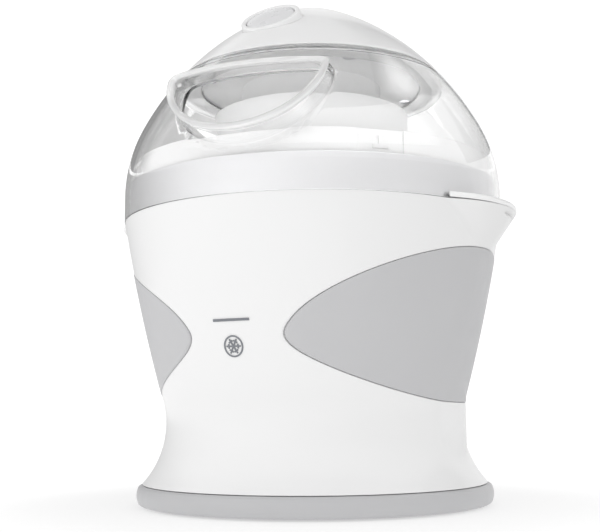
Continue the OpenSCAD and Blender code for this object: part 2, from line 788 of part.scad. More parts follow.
pcb_x = -57;
pcb_w = 17;
pcb_l = 32;
pcb_z = 229;
pcb_t = 1.6;
pcb_post_y = 13;
pcb_hole_r = 1.3;
relay = [8, 9, 5];
module circuit_board() color([0.1, 0.36, 0.2]) {
    difference() {
        translate([pcb_x, -pcb_l / 2, pcb_z]) cube([pcb_w, pcb_l, pcb_t]);
        for (s = [-1, 1]) translate([pcb_x + pcb_w / 2, s * pcb_post_y, 0])
            disc(pcb_z - 1, pcb_z + 3, pcb_hole_r);
    }
}
module board_posts() color([0.86, 0.86, 0.86]) {
    for (s = [-1, 1]) translate([pcb_x + pcb_w / 2, s * pcb_post_y, 0]) {
        disc(plate_z + plate_t + slip, pcb_z - slip, 2 * pcb_hole_r);
        disc(pcb_z - 0.2, pcb_z + 3, pcb_hole_r - 0.1);
    }
}
module board_parts() color([0.15, 0.15, 0.17]) {
    translate([pcb_x + 3, -relay[1], pcb_z + pcb_t + slip]) cube(relay);
    translate([pcb_x + 9, 5, 0]) disc(pcb_z + pcb_t + slip, pcb_z + 8, 3);
}

module switch_bezel() color([0.93, 0.93, 0.93]) {
    difference() {
        switch_frame() switch_oval(-button_depth, switch_h, 0);
        dome_solid(-slip);
        switch_frame() switch_oval(-2 * sleeve_depth, 2 * sleeve_depth, bore_in);
    }
    switch_frame() difference() {
        switch_oval(-sleeve_depth, 1, sleeve_in);
        switch_oval(-sleeve_depth - 1, 2, bore_in);
    }
}

module switch_button() color([0.88, 0.88, 0.88]) {
    switch_frame() intersection() {
        switch_oval(-button_depth, 2 * switch_h, bore_in + gap);
        translate([0, 0, switch_h + button_crown - button_curve]) sphere(r = button_curve, $fn = 128);
    }
}

module switch_body() color([0.2, 0.2, 0.22]) {
    low = -sleeve_depth - 1.6;
    switch_frame() {
        translate([2 - switch_a, -micro[1] / 2, low]) cube([2 * switch_a - 4, micro[1], micro_plate_t]);
        translate([-micro[0] / 2, -micro[1] / 2, low - micro[2] + 0.6]) cube(micro);
    }
}

module cord_gland() color([0.14, 0.14, 0.15]) {
    translate([0, 0, gland_z]) rotate([-90, 0, 0]) difference() {
        union() {
            translate([0, 0, gland_start]) cylinder(h = 4, r = gland_flange_r);
            translate([0, 0, gland_start + 3]) cylinder(h = boot_start - gland_start - 1, r = gland_r);
            translate([0, 0, boot_start])
                cylinder(h = gland_end - boot_start, r1 = boot_r[0], r2 = boot_r[1]);
        }
        translate([0, 0, gland_start - 1]) cylinder(h = gland_end, r = gland_bore);
        for (i = [0:boot_rings - 1]) translate([0, 0, boot_start + 9.5 + boot_pitch * i]) difference() {
            cylinder(h = 2, r = 2 * boot_slot_r);
            translate([0, 0, -1]) cylinder(h = 4, r = boot_slot_r);
        }
    }
}

body_shell();
base_ring();
base_plate();
feet();
base_screws();
left_grip();
right_grip();
bowl_well();
front_badge();
bowl_outer();
bowl_liner();
bowl_rim();
coolant();
bowl_seal();
fill_plug();
paddle();
lid_dome();
silver_band();
cap();
lower_housing();
gearbox_cover();
power_screws();
gear_plate();
bushes();
gear_axle();
motor_can();
motor_coil();
motor_rotor();
rotor_shaft();
motor_pinion();
idler_gear();
output_gear();
output_shaft();
circuit_board();
board_posts();
board_parts();
switch_bezel();
switch_button();
switch_body();
cord_gland();
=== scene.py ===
import bmesh
import bpy
import json
import math
import numpy as np
from mathutils import Matrix, Vector
from mathutils.geometry import delaunay_2d_cdt
from mathutils.kdtree import KDTree


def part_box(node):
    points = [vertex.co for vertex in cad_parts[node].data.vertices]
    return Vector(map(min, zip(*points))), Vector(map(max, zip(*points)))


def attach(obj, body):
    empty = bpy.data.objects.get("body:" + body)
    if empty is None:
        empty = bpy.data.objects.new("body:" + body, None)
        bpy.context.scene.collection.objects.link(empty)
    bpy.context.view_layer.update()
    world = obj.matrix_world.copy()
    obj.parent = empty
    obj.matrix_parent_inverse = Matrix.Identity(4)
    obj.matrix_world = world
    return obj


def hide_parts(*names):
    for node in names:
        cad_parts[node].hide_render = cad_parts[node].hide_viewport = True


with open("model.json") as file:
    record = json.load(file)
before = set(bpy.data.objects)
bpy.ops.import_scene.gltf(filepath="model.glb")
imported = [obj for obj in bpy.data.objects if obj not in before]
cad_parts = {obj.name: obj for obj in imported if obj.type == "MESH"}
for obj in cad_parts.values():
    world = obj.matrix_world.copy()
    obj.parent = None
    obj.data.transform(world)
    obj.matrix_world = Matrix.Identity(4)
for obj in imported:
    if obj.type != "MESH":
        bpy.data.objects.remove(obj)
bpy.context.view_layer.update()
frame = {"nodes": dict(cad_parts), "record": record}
SCENE = bpy.context.scene
MM = 0.001

# ---------------------------------------------------------------- sizes, in millimetres


def box_mm(node):
    """The lowest and the highest corner of a CAD node, in millimetres."""
    lo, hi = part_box(node)
    return Vector(lo) / MM, Vector(hi) / MM


BODY_HI = box_mm("body_shell")[1]
BASE_LO, BASE_HI = box_mm("base_ring")
BAND_HI = box_mm("silver_band")[1]
CAP_LO = box_mm("cap")[0]

SEG, N_OVAL, N_TUBE, N_ROOF = 240, 96, 96, 40
BODY_MESH, POCKET_MESH, GRIP_MESH, GRIP_BACK_MESH, DOME_MESH, CAP_MESH = 2.6, 6.0, 3.0, 7.0, 2.9, 2.4

# body: wall, waist and flare, rolled edges, and how far above the base ring its foot stays
PART_Z = BODY_HI.z
BODY_R, SHELL_T = 100.0, 2.8
WAIST_R, WAIST_Z, WAIST_CURVE, FLARE_A0 = 77.6, 42.0, 45.0, math.radians(15.6)
TOP_ROLL, FOOT_ROLL, FOOT_GAP, INNER_GAP = 0.2, 0.6, 0.9, 0.3

# pointed lip on each side, with the slot in its nose
LIP_REACH, LIP_HALF, LIP_DROP, LIP_TAPER, LIP_BLEND = BODY_HI.x, math.radians(25), 18.5, 12.8, 1.2
SLOT_Z, SLOT_H, SLOT_DEEP = PART_Z - 2.4, 0.6, 2.4
SLOT_A0, SLOT_A1 = math.radians(-2.5), math.radians(15)
SLOT_ROWS = (-1.6, -1, -0.6, 0, 0.6, 1, 1.6)

# grip panels, and their rolled edges as (growth of the outline, depth)
GRIP_LEN, GRIP_MID, GRIP_RISE, GRIP_FALL = 83.7, 87.6, 39.5, 35.9
GRIP_POCKET, GRIP_PROUD, GRIP_GAP = 1.2, 0.3, 0.2
POCKET_EDGE = ((0.65, 0.0), (0.32, 0.08), (GRIP_GAP, 0.4), (GRIP_GAP, GRIP_POCKET))
GRIP_EDGE = ((-0.75, 0.0), (-0.4, 0.05), (-0.15, 0.2), (-0.03, 0.5), (0.0, 0.9),
             (0.0, GRIP_PROUD + GRIP_POCKET - 0.1))

BASE_BULGE, BASE_ARC = 9.0, math.radians(27)

# clear lid: shoulder, main curve and crown, each arc running into the next
DOME_R, DOME_T = BAND_HI.x + 2.5, 2.2
SHOULDER, SHOULDER_Z, SHOULDER_A = 75.0, 160.0, math.radians(27)
DOME_CURVE, CROWN = 150.0, 50.0
C1 = np.array([DOME_R - SHOULDER, SHOULDER_Z])
C2 = C1 - (DOME_CURVE - SHOULDER) * np.array([math.cos(SHOULDER_A), math.sin(SHOULDER_A)])
CROWN_A = math.acos(-C2[0] / (DOME_CURVE - CROWN))
C3 = np.array([0.0, C2[1] + (DOME_CURVE - CROWN) * math.sin(CROWN_A)])
CAP_Z, CAP_T, CAP_ROLL, CAP_HOLE = CAP_LO.z + 1.0, 2.4, 0.9, 1.0
LEDGE_R, LEDGE_Z, LEDGE_T = 60.0, 220.8, 1.0
SKIRT_Z = PART_Z + 0.1
BAND_T = 1.2

# finger tabs, with their section as (out from the lip, up, 1 from the top or 0 from the foot)
TAB_H, TAB_GAP, TAB_PROUD = 3.3, 0.5, 1.2
TAB_SECTION = ((-1, 0, 0), (-0.35, 0, 0), (0.0, 0.35, 0), (0.0, -1.3, 1), (-0.35, -0.5, 1),
               (-1.2, -0.05, 1), (-2.2, 0, 1))

# pouring chute, the heights of the dome it is let into, and the rounding of its corners
CHUTE_R, CHUTE_Y, CHUTE_Z, CHUTE_SINK = 39.3, 91.0, 208.5, 1.2
CHUTE_TILT, CHUTE_TURN = math.radians(32), math.radians(6)
CHUTE_SQUASH, VISOR, CHUTE_LONG = 0.95, 9.0, 60.0
DOME_LOW, DOME_HIGH = 166.0, 214.0
CORNER_WIDE, CORNER_PASSES, CORNER_STEP = (0.8, 2.0), 4, 0.9
# bead round the mouth, as (inwards from the mouth, out from the tube's skin)
BEAD = ((3.3, 0.12), (2.7, 0.7), (2.1, 1.2), (1.4, 1.45), (0.7, 1.3), (0.2, 0.8), (0.0, 0.0),
        (0.05, -0.9), (0.35, -1.6), (0.8, -2.0))

# switch: bezel as (inwards from its outside, down from its top), then the crowned button
SWITCH_Y, SWITCH_A, SWITCH_B, SWITCH_H = 47.0, 16.2, 13.2, 2.4
SWITCH_TILT = math.radians(9)
BEZEL = ((0.02, 0.7), (0.15, 0.3), (0.5, 0.05), (0.9, 0.0), (1.6, 0.0), (2.1, 0.08), (2.45, 0.4), (2.6, 0.9))
BEZEL_FOOT, BUTTON_FOOT = -8.0, -5.6
BUTTON_INSET, BUTTON_CURVE, BUTTON_CROWN = 2.95, 70.0, 0.6

# soft edges of the CAD nodes that stay, finer on the small ones
EDGE, FINE_EDGE = 0.35, 0.15
FINE_NODES = ("front_badge", "idler_gear", "output_gear", "motor_pinion", "board_parts")

# ---------------------------------------------------------------- mesh helpers


def polar(turn, r, z):
    """Points at the given angles from +X, radii and heights."""
    return np.c_[r * np.cos(turn), r * np.sin(turn), np.broadcast_to(z, np.shape(turn))]


def smooth_faces(mesh):
    mesh.polygons.foreach_set("use_smooth", [True] * len(mesh.polygons))


def arc(c, r, a0, a1, n):
    """An arc about c as points of a section."""
    t = np.linspace(a0, a1, n + 1)
    return np.c_[c[0] + r * np.cos(t), c[1] + r * np.sin(t)]


def rounded(corners, n=4):
    """A closed outline from (x, y, radius) corners, each turned with a soft curve."""
    out = []
    count = len(corners)
    for i, (x, y, rad) in enumerate(corners):
        p = np.array([x, y], float)
        if rad <= 0:
            out.append(p)
            continue
        a = np.array(corners[i - 1][:2], float) - p
        b = np.array(corners[(i + 1) % count][:2], float) - p
        la, lb = np.linalg.norm(a), np.linalg.norm(b)
        reach = min(rad, 0.48 * la, 0.48 * lb)
        s, e = p + a / la * reach, p + b / lb * reach
        for k in range(n + 1):
            t = k / n
            out.append((1 - t) ** 2 * s + 2 * t * (1 - t) * p + t * t * e)
    return np.array(out)


def add_piece(name, verts, faces, material, body, stands_for=()):
    """Makes a piece from points in millimetres, and tells the frame what it rides on and stands for."""
    mesh = bpy.data.meshes.new(name)
    mesh.from_pydata([tuple(v) for v in np.asarray(verts, float) * MM], [], faces)
    mesh.validate()
    smooth_faces(mesh)
    mesh.materials.append(material)
    piece = bpy.data.objects.new(name, mesh)
    SCENE.collection.objects.link(piece)
    if body:
        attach(piece, body)
    if stands_for:
        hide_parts(*stands_for)
    return piece


def lathe(profile):
    """Vertices and faces of a closed profile of (radius, height) turned round the Z axis."""
    turn = np.linspace(0, 2 * math.pi, SEG, endpoint=False)
    verts = [(r * math.cos(t), r * math.sin(t), z) for r, z in profile for t in turn]
    faces = []
    for i in range(len(profile)):
        a, b = i * SEG, (i + 1) % len(profile) * SEG
        faces += [(a + k, a + (k + 1) % SEG, b + (k + 1) % SEG, b + k) for k in range(SEG)]
    return verts, faces


def inside(points, loop):
    """Even-odd test of many points against one closed loop."""
    x, y = points[:, 0], points[:, 1]
    hit = np.zeros(len(points), bool)
    j = len(loop) - 1
    for i in range(len(loop)):
        xi, yi, xj, yj = *loop[i], *loop[j]
        if yi != yj:
            cross = ((yi > y) != (yj > y)) & (x < (xj - xi) * (y - yi) / (yj - yi) + xi)
            hit ^= cross
        j = i
    return hit


def triangulate(outer, holes, spacing, extra=()):
    """Even triangles inside a loop and outside its holes.

    Returns the points, the triangles and, for each loop, the index of each of its points.
    """
    loops = [np.asarray(outer, float)] + [np.asarray(h, float) for h in holes]
    lo, hi = loops[0].min(0), loops[0].max(0)
    rows = max(2, int(round((hi[1] - lo[1]) / (spacing * 0.87))))
    cols = max(2, int(round((hi[0] - lo[0]) / spacing)))
    grid = []
    for j in range(1, rows):
        y = lo[1] + (hi[1] - lo[1]) * j / rows
        off = 0.5 * (j % 2)
        grid += [(lo[0] + (hi[0] - lo[0]) * (i + off) / cols, y) for i in range(1 - (j % 2), cols)]
    grid = np.array(grid + [tuple(p) for p in extra])
    keep = inside(grid, loops[0])
    for hole in loops[1:]:
        keep &= ~inside(grid, hole)
    grid = grid[keep]
    border = np.vstack(loops)
    tree = KDTree(len(border))
    for i, p in enumerate(border):
        tree.insert((p[0], p[1], 0), i)
    tree.balance()
    grid = np.array([p for p in grid if tree.find((p[0], p[1], 0))[2] > spacing * 0.55])
    points = np.vstack([border, grid]) if len(grid) else border
    edges, start, spans = [], 0, []
    for loop in loops:
        n = len(loop)
        edges += [(start + i, start + (i + 1) % n) for i in range(n)]
        spans.append(list(range(start, start + n)))
        start += n
    made, _, tris, origin, _, _ = delaunay_2d_cdt([Vector(p) for p in points], edges, [], 0, 1e-5, True)
    made = np.array([(p.x, p.y) for p in made])
    tris = np.array(tris)
    centre = made[tris].mean(1)
    good = inside(centre, loops[0])
    for hole in loops[1:]:
        good &= ~inside(centre, hole)
    where = {}
    for new, olds in enumerate(origin):
        for old in olds:
            where[old] = new
    return made, tris[good], [[where[i] for i in span] for span in spans]


def weld(piece, distance=0.005):
    """Joins vertices that meet and turns all faces outwards."""
    bm = bmesh.new()
    bm.from_mesh(piece.data)
    bmesh.ops.remove_doubles(bm, verts=bm.verts, dist=distance * MM)
    bmesh.ops.recalc_face_normals(bm, faces=bm.faces)
    bm.to_mesh(piece.data)
    bm.free()
    smooth_faces(piece.data)
    piece.data.update()


def even_normals(piece):
    """Keeps the shading of broad faces true up to their small rounded edges."""
    piece.modifiers.new("even_normals", "WEIGHTED_NORMAL").weight = 50


class Builder:
    """Collects vertices and faces of one piece from several surfaces."""

    def __init__(self):
        self.verts, self.faces = [], []

    def add(self, verts, faces):
        base = len(self.verts)
        self.verts += [tuple(v) for v in verts]
        self.faces += [tuple(int(i) + base for i in f) for f in faces]

    def strip(self, rows, close=True):
        """Faces between neighbouring rows of points, each row a ring if close is set."""
        rows = [np.asarray(r, float) for r in rows]
        n = len(rows[0])
        verts = np.vstack(rows)
        faces = []
        for j in range(len(rows) - 1):
            for i in range(n if close else n - 1):
                k = (i + 1) % n
                faces.append((j * n + i, j * n + k, (j + 1) * n + k, (j + 1) * n + i))
        self.add(verts, faces)


# ---------------------------------------------------------------- materials


def shader(name):
    """A new material with its nodes, its links and its main shader."""
    mat = bpy.data.materials.new(name)
    mat.use_nodes = True
    nodes = mat.node_tree.nodes
    return mat, nodes, mat.node_tree.links, nodes["Principled BSDF"]


def noise(nodes, links, coords, scale, detail=3.0, stretch=None):
    """Noise over the piece's own space, drawn out along an axis if stretch is given."""
    tex = nodes.new("ShaderNodeTexNoise")
    tex.inputs["Scale"].default_value = scale
    tex.inputs["Detail"].default_value = detail
    if stretch:
        mapping = nodes.new("ShaderNodeMapping")
        mapping.inputs["Scale"].default_value = stretch
        links.new(coords.outputs["Object"], mapping.inputs["Vector"])
        links.new(mapping.outputs["Vector"], tex.inputs["Vector"])
    else:
        links.new(coords.outputs["Object"], tex.inputs["Vector"])
    return tex


def spread(nodes, links, source, low, high):
    """The middle of a noise's range, spread from low to high."""
    node = nodes.new("ShaderNodeMapRange")
    node.inputs["From Min"].default_value = 0.3
    node.inputs["From Max"].default_value = 0.7
    node.inputs["To Min"].default_value = low
    node.inputs["To Max"].default_value = high
    links.new(source.outputs["Fac"], node.inputs["Value"])
    return node


def surface(name, color, rough=0.35, vary=0.03, rough_vary=0.06, grain=1800.0, bump=0.08, metal=0.0,
            coat=0.0, stretch=None, large=35.0, subsurface=0.0, specular=0.5):
    """An opaque finish with uneven tone, uneven gloss and a fine grain."""
    mat, nodes, links, bsdf = shader(name)
    coords = nodes.new("ShaderNodeTexCoord")
    broad = noise(nodes, links, coords, large, 4.0)
    tone = nodes.new("ShaderNodeMix")
    tone.data_type = "RGBA"
    tone.inputs["A"].default_value = tuple(min(1.0, c * (1 - vary)) for c in color) + (1,)
    tone.inputs["B"].default_value = tuple(min(1.0, c * (1 + vary)) for c in color) + (1,)
    links.new(broad.outputs["Fac"], tone.inputs["Factor"])
    links.new(tone.outputs["Result"], bsdf.inputs["Base Color"])
    fine = noise(nodes, links, coords, grain, 2.0, stretch)
    patches = noise(nodes, links, coords, large * 4, 3.0, stretch)
    gloss = spread(nodes, links, patches, rough - rough_vary, rough + rough_vary)
    links.new(gloss.outputs["Result"], bsdf.inputs["Roughness"])
    relief = nodes.new("ShaderNodeBump")
    relief.inputs["Strength"].default_value = bump
    relief.inputs["Distance"].default_value = 0.0002
    links.new(fine.outputs["Fac"], relief.inputs["Height"])
    links.new(relief.outputs["Normal"], bsdf.inputs["Normal"])
    bsdf.inputs["Metallic"].default_value = metal
    bsdf.inputs["Coat Weight"].default_value = coat
    bsdf.inputs["Coat Roughness"].default_value = 0.08
    bsdf.inputs["Specular IOR Level"].default_value = specular
    if subsurface:
        bsdf.inputs["Subsurface Weight"].default_value = subsurface
        bsdf.inputs["Subsurface Radius"].default_value = (0.002, 0.002, 0.0018)
    return mat


def clear(name, color, rough=0.0, ior=1.49, see_through=1.0):
    """A clear plastic with a trace of uneven gloss."""
    mat, nodes, links, bsdf = shader(name)
    coords = nodes.new("ShaderNodeTexCoord")
    gloss = spread(nodes, links, noise(nodes, links, coords, 60.0, 4.0), rough, rough + 0.03)
    links.new(gloss.outputs["Result"], bsdf.inputs["Roughness"])
    relief = nodes.new("ShaderNodeBump")
    relief.inputs["Strength"].default_value = 0.015
    relief.inputs["Distance"].default_value = 0.0005
    links.new(noise(nodes, links, coords, 25.0, 1.0).outputs["Fac"], relief.inputs["Height"])
    links.new(relief.outputs["Normal"], bsdf.inputs["Normal"])
    bsdf.inputs["Base Color"].default_value = tuple(color) + (1,)
    bsdf.inputs["Transmission Weight"].default_value = see_through
    bsdf.inputs["IOR"].default_value = ior
    return mat


MATS = {
    "white_shell": surface("white_shell", (0.86, 0.86, 0.86), 0.32, 0.004, 0.02, coat=0.2,
                           bump=0.015, large=12),
    "soft_grey": surface("soft_grey", (0.55, 0.55, 0.56), 0.47, 0.03, 0.06, grain=2600, bump=0.25),
    "base_grey": surface("base_grey", (0.52, 0.52, 0.53), 0.42, 0.03, 0.06, bump=0.12),
    "dark_grey": surface("dark_grey", (0.10, 0.10, 0.11), 0.55, 0.08),
    "foot_rubber": surface("foot_rubber", (0.02, 0.02, 0.022), 0.75, 0.2, grain=900, bump=0.3),
    "screw_steel": surface("screw_steel", (0.55, 0.55, 0.57), 0.3, 0.06, metal=1.0, stretch=(1, 1, 8)),
    "inner_plastic": surface("inner_plastic", (0.72, 0.73, 0.74), 0.45, 0.03),
    "print_grey": surface("print_grey", (0.20, 0.21, 0.23), 0.35, 0.05),
    "bowl_white": surface("bowl_white", (0.94, 0.94, 0.94), 0.3, 0.005, 0.015, coat=0.15,
                          bump=0.02, large=12),
    "liner_metal": surface("liner_metal", (0.66, 0.67, 0.68), 0.32, 0.05, metal=1.0, stretch=(1, 1, 40)),
    "gel_blue": surface("gel_blue", (0.10, 0.33, 0.66), 0.15, 0.1, subsurface=0.2),
    "seal_silicone": surface("seal_silicone", (0.68, 0.69, 0.70), 0.6, 0.04),
    "paddle_plastic": surface("paddle_plastic", (0.78, 0.79, 0.80), 0.35, 0.02),
    "clear_plastic": clear("clear_plastic", (1.0, 1.0, 1.0)),
    "clear_lip": clear("clear_lip", (1.0, 1.0, 1.0), see_through=0.35),
    "silver_trim": surface("silver_trim", (0.80, 0.80, 0.81), 0.42, 0.01, 0.03, metal=1.0,
                           grain=900, bump=0.03),
    "housing_grey": surface("housing_grey", (0.94, 0.94, 0.94), 0.4, 0.005, 0.02, bump=0.02, large=12),
    "bronze": surface("bronze", (0.45, 0.28, 0.12), 0.4, 0.1, metal=1.0),
    "motor_steel": surface("motor_steel", (0.5, 0.51, 0.53), 0.3, 0.05, metal=1.0, stretch=(1, 1, 30)),
    "copper_wire": surface("copper_wire", (0.62, 0.24, 0.09), 0.3, 0.12, metal=1.0, grain=300,
                           stretch=(1, 1, 12), bump=0.5),
    "magnet": surface("magnet", (0.04, 0.04, 0.045), 0.6, 0.15, bump=0.3),
    "gear_brass": surface("gear_brass", (0.70, 0.5, 0.2), 0.3, 0.08, metal=1.0),
    "gear_nylon": surface("gear_nylon", (0.72, 0.71, 0.64), 0.4, 0.04, subsurface=0.1),
    "board_green": surface("board_green", (0.015, 0.10, 0.03), 0.3, 0.15, coat=0.4),
    "part_black": surface("part_black", (0.015, 0.015, 0.017), 0.4, 0.2),
    "button_grey": surface("button_grey", (0.74, 0.74, 0.75), 0.3, 0.02, coat=0.2),
    "cord_black": surface("cord_black", (0.015, 0.015, 0.017), 0.6, 0.2, bump=0.3),
}

# ---------------------------------------------------------------- body

LIP_C = (LIP_REACH ** 2 - BODY_R ** 2) / (2 * (LIP_REACH - BODY_R * math.cos(LIP_HALF)))
LIP_RAD = LIP_REACH - LIP_C
FLARE_Z0 = WAIST_Z + WAIST_CURVE * math.sin(FLARE_A0)
FLARE_R0 = WAIST_R + WAIST_CURVE * (1 - math.cos(FLARE_A0))
SPAN = np.array([BODY_R - FLARE_R0, PART_Z - FLARE_Z0])
FLARE_CURVE = (SPAN @ SPAN) / (2 * (SPAN @ np.array([-math.cos(FLARE_A0), math.sin(FLARE_A0)])))
FLARE_C = np.array([FLARE_R0, FLARE_Z0]) - FLARE_CURVE * np.array([math.cos(FLARE_A0), -math.sin(FLARE_A0)])


def body_profile(z):
    """Radius of the round skin at a height: the waist's curve below, the long flare above."""
    z = np.asarray(z, float)
    low = WAIST_R + WAIST_CURVE - np.sqrt(np.maximum(WAIST_CURVE ** 2 - (z - WAIST_Z) ** 2, 0))
    high = FLARE_C[0] + np.sqrt(np.maximum(FLARE_CURVE ** 2 - (z - FLARE_C[1]) ** 2, 0))
    return np.where(z < FLARE_Z0, low, high)


def soft_max(a, b, k):
    """The larger of two, with the crease between them filled over a width k."""
    h = np.maximum(k - np.abs(a - b), 0) / k
    return np.maximum(a, b) + h * h * k / 4


def body_radius(phi, z):
    """Radius of the outer skin at an angle from +X and a height, with both side lips flowing out of it."""
    phi, z = np.asarray(phi, float), np.asarray(z, float)
    base = body_profile(z)
    side = np.abs((phi + math.pi / 2) % math.pi - math.pi / 2)
    drop = np.clip((PART_Z - z) / LIP_DROP, 0, 2.2)
    rad = LIP_RAD - LIP_TAPER * drop
    under = np.maximum(rad ** 2 - (LIP_C * np.sin(side)) ** 2, 0)
    lip = LIP_C * np.cos(side) + np.sqrt(under)
    lip = np.where(LIP_C * np.sin(side) < rad, lip, 0)
    turn = (phi + math.pi / 2) % math.pi - math.pi / 2
    slot = np.clip(1 - ((z - SLOT_Z) / SLOT_H) ** 2, 0, 1) * ((turn > SLOT_A0) & (turn < SLOT_A1))
    return soft_max(base, lip, LIP_BLEND) - SLOT_DEEP * slot


def on_body(phi, z, out=0.0):
    return polar(phi, body_radius(phi, z) + out, z)


def grip_loop(side, grow, n=72):
    """Outline of a grip panel on the skin, as angle from +X and height."""
    a = np.linspace(0, math.pi, n + 1)
    up = np.c_[(GRIP_LEN + grow) * np.cos(a), GRIP_MID + (GRIP_RISE + grow) * np.sin(a).clip(0) ** 0.85]
    a = np.linspace(math.pi, 2 * math.pi, n + 1)[1:-1]
    down = np.c_[(GRIP_LEN + grow) * np.cos(a), GRIP_MID - (GRIP_FALL + grow) * (-np.sin(a)).clip(0) ** 0.95]
    yz = np.vstack([up, down])
    phi = np.arcsin(np.clip(yz[:, 0] / body_profile(yz[:, 1]), -1, 1))
    return np.c_[phi if side > 0 else math.pi - phi, yz[:, 1]]


# radius at which the body's skin and the dome are laid out flat for meshing
FLAT, DOME_FLAT = 92.0, 90.0


def flat(loop):
    return np.c_[loop[:, 0] * FLAT, loop[:, 1]]


def add_skin(b, outer, holes, spacing, out=0.0, extra=()):
    """Adds the body's skin, or a surface out from it, inside a flat loop and outside its holes."""
    pts, tris, _ = triangulate(outer, holes, spacing, extra)
    b.add(on_body(pts[:, 0] / FLAT, pts[:, 1], out), tris)


def build_body():
    """The waisted shell, with its pockets, rolled top edge and open foot."""
    top, foot, inner_foot = PART_Z - TOP_ROLL, BASE_HI.z + FOOT_GAP, BASE_HI.z + INNER_GAP
    turn = np.linspace(-math.pi / 2, 1.5 * math.pi, SEG + 1)
    levels = np.linspace(foot, top, 54)[1:-1]
    outer = [(p * FLAT, foot) for p in turn] + [(turn[-1] * FLAT, z) for z in levels]
    outer += [(p * FLAT, top) for p in turn[::-1]] + [(turn[0] * FLAT, z) for z in levels[::-1]]
    loops = {s: [grip_loop(s, grow) for grow, _ in POCKET_EDGE] for s in (1, -1)}
    # finer rows of the mesh over the side lips and their slots
    rows = np.r_[np.arange(124, SLOT_Z - 1.2, 1.4), SLOT_Z + SLOT_H * np.array(SLOT_ROWS), [SLOT_Z + 1.3]]
    extra = [((centre + math.radians(a)) * FLAT, z)
             for centre in (0, math.pi) for z in rows for a in np.arange(-32, 32.1, 0.9)]
    b = Builder()
    add_skin(b, outer, [flat(loops[s][0]) for s in (1, -1)], BODY_MESH, 0.0, extra)
    for s in (1, -1):
        b.strip([on_body(l[:, 0], l[:, 1], -depth) for l, (_, depth) in zip(loops[s], POCKET_EDGE)])
        add_skin(b, flat(loops[s][-1]), [], POCKET_MESH, -GRIP_POCKET)
    ring = turn[:-1]
    edge = [on_body(ring, top + TOP_ROLL * math.sin(a), -TOP_ROLL * (1 - math.cos(a)))
            for a in np.linspace(0, math.pi / 2, 5)]
    mouth = [polar(ring, BODY_R - SHELL_T, PART_Z), polar(ring, BODY_R - SHELL_T, PART_Z - 2)]
    b.strip(edge + mouth)
    inner = [polar(ring, float(body_profile(z)) - SHELL_T, z)
             for z in np.linspace(PART_Z - 8, inner_foot, 20)]
    b.strip([mouth[1]] + inner)
    b.strip([inner[-1]] + [on_body(ring, foot - FOOT_ROLL * math.sin(a), -FOOT_ROLL * (1 - math.cos(a)))
                           for a in np.linspace(math.pi / 2, 0, 4)])
    piece = add_piece("body_skin", b.verts, b.faces, MATS["white_shell"], "body", ["body_shell"])
    weld(piece)


def build_grip(side, name, node):
    """A soft-touch panel that sits in its pocket with a rolled edge."""
    loops = [(grip_loop(side, grow), GRIP_PROUD - depth) for grow, depth in GRIP_EDGE]
    b = Builder()
    add_skin(b, flat(loops[0][0]), [], GRIP_MESH, GRIP_PROUD)
    b.strip([on_body(l[:, 0], l[:, 1], out) for l, out in loops])
    back, out = loops[-1]
    add_skin(b, flat(back), [], GRIP_BACK_MESH, out)
    piece = add_piece(name, b.verts, b.faces, MATS["soft_grey"], "body", [node])
    weld(piece)


def build_base_ring():
    """The grey ring under the body, with a bulging side."""
    r, lift, top = BASE_HI.x, BASE_LO.z, BASE_HI.z
    side = arc((r - BASE_BULGE, (lift + top) / 2), BASE_BULGE, -BASE_ARC, BASE_ARC, 10)
    corners = [(r - 6, lift, 0.6), (r - 2.2, lift, 1.0)] + [(p[0], p[1], 0) for p in side]
    corners += [(r - 2.4, top, 0.8), (r - 12, top, 0.6), (r - 12, top - 1.6, 0.4), (r - 6, top - 1.8, 0.4)]
    verts, faces = lathe(rounded(corners))
    piece = add_piece("base_foot_ring", verts, faces, MATS["base_grey"], "body", ["base_ring"])
    weld(piece)
    even_normals(piece)


# ---------------------------------------------------------------- clear lid


def dome_gap(p, t=0.0):
    """Distance of points outside the dome's surface, or a surface t inside it."""
    r, z = np.hypot(p[:, 0], p[:, 1]), p[:, 2]
    a1 = np.arctan2(z - C1[1], r - C1[0])
    a2 = np.arctan2(z - C2[1], r - C2[0])
    wall = r - (DOME_R - t)
    d1 = np.hypot(r - C1[0], z - C1[1]) - (SHOULDER - t)
    d2 = np.hypot(r - C2[0], z - C2[1]) - (DOME_CURVE - t)
    d3 = np.hypot(r - C3[0], z - C3[1]) - (CROWN - t)
    return np.where(a1 < 0, wall, np.where(a1 < SHOULDER_A, d1, np.where(a2 < CROWN_A, d2, d3)))


def dome_path(t, z0, z1, n):
    """The dome's section t inside its surface from one height to another, as (radius, height)."""
    z = np.linspace(z0, z1, n + 1)
    return np.c_[dome_radius(z, t), z]


def dome_radius(z, t=0.0):
    """Radius of the dome at a height, t inside its surface."""
    z = np.asarray(z, float)
    s1 = C1[1] + (SHOULDER - t) * math.sin(SHOULDER_A)
    r1 = C1[0] + np.sqrt(np.maximum((SHOULDER - t) ** 2 - (z - C1[1]) ** 2, 0))
    r2 = C2[0] + np.sqrt(np.maximum((DOME_CURVE - t) ** 2 - (z - C2[1]) ** 2, 0))
    r3 = np.sqrt(np.maximum((CROWN - t) ** 2 - (z - C3[1]) ** 2, 0))
    s2 = C2[1] + (DOME_CURVE - t) * math.sin(CROWN_A)
    return np.where(z < C1[1], DOME_R - t, np.where(z < s1, r1, np.where(z < s2, r2, r3)))


def bisect(f, lo, hi, n=40):
    """Where f, positive at lo and negative at hi, crosses zero, for many at once."""
    for _ in range(n):
        mid = (lo + hi) / 2
        up = f(mid) > 0
        lo, hi = np.where(up, mid, lo), np.where(up, hi, mid)
    return (lo + hi) / 2


